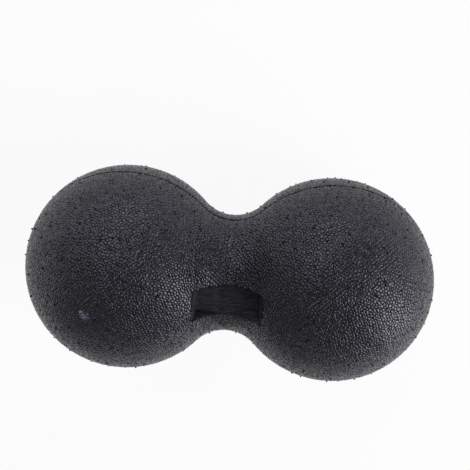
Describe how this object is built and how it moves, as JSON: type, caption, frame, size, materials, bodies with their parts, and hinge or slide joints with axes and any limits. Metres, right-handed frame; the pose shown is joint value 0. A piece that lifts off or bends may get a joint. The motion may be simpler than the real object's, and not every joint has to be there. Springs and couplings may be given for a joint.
{
  "type": "peanut massage ball",
  "caption": "Peanut-shaped foam massage ball with a narrow waist that straddles the spine and a bare sunk label panel.",
  "frame": {"origin": "centre of the waist, midway between the centres of the balls, which is also the centre of the bounding box", "axes": "+X along the long axis through the centres of both balls; +Z out of the middle of the sunk label panel, square to the plane of the parting line; +Y completes a right-handed frame and lies in the parting plane"},
  "size_m": [0.24, 0.12, 0.12],
  "materials": {
    "foam": "moulded bead foam with a fine pebbled grain and a slight sheen"
  },
  "bodies": {
    "root": {"peanut_body": "foam"}
  },
  "joints": []
}
